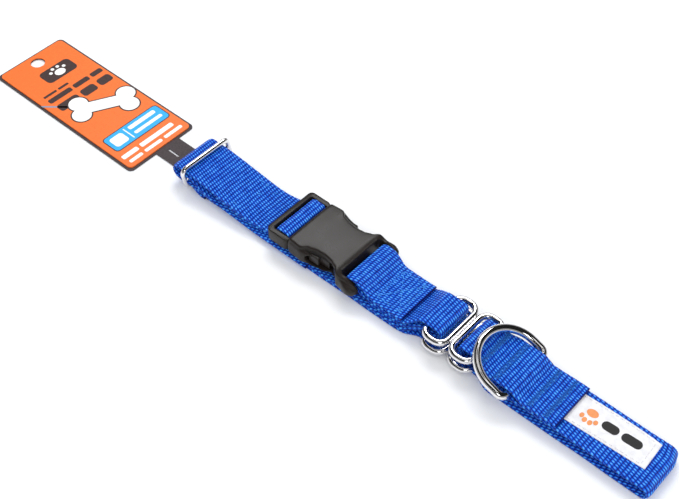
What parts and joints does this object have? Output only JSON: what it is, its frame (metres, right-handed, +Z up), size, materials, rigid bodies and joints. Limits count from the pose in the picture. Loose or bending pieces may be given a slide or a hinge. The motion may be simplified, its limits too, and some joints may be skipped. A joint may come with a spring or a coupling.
{
  "type": "martingale_collar",
  "caption": "Martingale dog collar in blue nylon webbing with side-release buckle, slider, double rings, D ring and header card, laid flat.",
  "frame": {"origin": "on the resting surface under the middle of the whole set, on the header card's centre line", "axes": "+X along the collar from the header card to the end of the control loop, +Y across the webbing, +Z up"},
  "size_m": [0.301, 0.0332, 0.014],
  "materials": {
    "blue_webbing": "matte",
    "blue_thread": "satin",
    "black_plastic": "matte",
    "chrome_wire": "polished",
    "white_label": "satin",
    "white_thread": "satin",
    "printed_card": "satin",
    "dark_board": "matte"
  },
  "bodies": {
    "short_strap": {"lower_webbing": "blue_webbing", "short_webbing": "blue_webbing", "short_strap_stitching": "blue_thread", "buckle_female": "black_plastic"},
    "buckle_strap": {"upper_webbing": "blue_webbing", "buckle_end_stitching": "blue_thread", "buckle_male": "black_plastic"},
    "prong_near": {"release_prong_near": "black_plastic"},
    "prong_far": {"release_prong_far": "black_plastic"},
    "strap_end": {"slider_end_loop": "blue_webbing", "slider_end_stitching": "blue_thread"},
    "slider": {"slider": "chrome_wire"},
    "tag": {"header_card": "printed_card", "card_back_board": "dark_board"},
    "upper_ring": {"upper_double_ring": "chrome_wire"},
    "lower_ring": {"lower_double_ring": "chrome_wire"},
    "control_loop": {"control_loop": "blue_webbing", "bar_tack_stitching": "blue_thread", "woven_label": "white_label", "label_stitching": "white_thread"},
    "d_ring": {"d_ring": "chrome_wire"}
  },
  "joints": [
    {"name": "buckle_release", "type": "slide", "parent": "short_strap", "child": "buckle_strap", "axis": [-1, 0, 0], "range_m": [0, 0.0195], "deforming": ["release_prong_near", "release_prong_far"]},
    {"name": "prong_near_squeeze", "type": "hinge", "parent": "buckle_strap", "child": "prong_near", "pos_m": [0.00695, -0.0044, 0.007], "axis": [0, 0, 1], "range_deg": [0, 8], "stiffness_Nm_per_rad": 0.2},
    {"name": "prong_far_squeeze", "type": "hinge", "parent": "buckle_strap", "child": "prong_far", "pos_m": [0.00695, 0.011, 0.007], "axis": [0, 0, -1], "range_deg": [0, 8], "stiffness_Nm_per_rad": 0.2},
    {"name": "slider_slide", "type": "slide", "parent": "buckle_strap", "child": "strap_end", "axis": [1, 0, 0], "range_m": [0, 0.01], "deforming": ["slider_end_loop", "upper_webbing", "lower_webbing"]},
    {"name": "slider_tilt", "type": "hinge", "parent": "strap_end", "child": "slider", "pos_m": [-0.04805, 0.0023, 0.00555], "axis": [0, 1, 0], "range_deg": [-20, 20]},
    {"name": "tag_pull", "type": "slide", "parent": "buckle_strap", "child": "tag", "axis": [-1, 0, 0], "range_m": [0, 0.025]},
    {"name": "upper_ring_swing", "type": "hinge", "parent": "short_strap", "child": "upper_ring", "pos_m": [0.06215, 0.0035, 0.0074], "axis": [0, -1, 0], "range_deg": [0, 25]},
    {"name": "lower_ring_swing", "type": "hinge", "parent": "short_strap", "child": "lower_ring", "pos_m": [0.06215, 0.0035, 0.00245], "axis": [0, -1, 0], "range_deg": [0, 25]},
    {"name": "control_loop_level", "type": "hinge", "parent": "upper_ring", "child": "control_loop", "pos_m": [0.08175, 0.0035, 0.0074], "axis": [0, 1, 0], "range_deg": [0, 25]},
    {"name": "d_ring_swing", "type": "hinge", "parent": "control_loop", "child": "d_ring", "pos_m": [0.09725, 0.0026, 0.0062], "axis": [0, 1, 0], "range_deg": [0, 150]}
  ],
  "couplings": [
    {"joint": "lower_ring_swing", "follows": "upper_ring_swing", "ratio": 1},
    {"joint": "control_loop_level", "follows": "upper_ring_swing", "ratio": 1}
  ]
}
